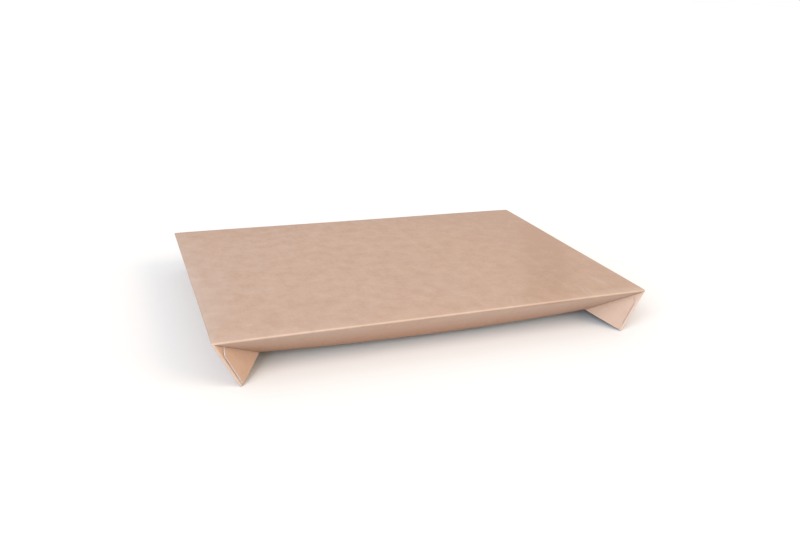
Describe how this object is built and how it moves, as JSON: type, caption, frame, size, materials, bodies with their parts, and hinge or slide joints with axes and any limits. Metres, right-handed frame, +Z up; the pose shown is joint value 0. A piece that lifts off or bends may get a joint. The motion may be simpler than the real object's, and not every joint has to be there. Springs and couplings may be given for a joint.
{
  "type": "collapsed corrugated cardboard box",
  "caption": "Large shipping box of corrugated cardboard, glued at its corners and pushed flat, lying base up with its walls folded in under the base.",
  "frame": {"origin": "centre of the box in plan, at the level of the end walls' cut edges that it stands on", "axes": "+X along the length of the base, +Y along its width, +Z up out of the base's outer face"},
  "size_m": [1.2, 0.8, 0.1236],
  "materials": {
    "kraft_board": "matt brown kraft paper on corrugated board"
  },
  "bodies": {
    "root": {"folded_box": "kraft_board"}
  },
  "joints": []
}
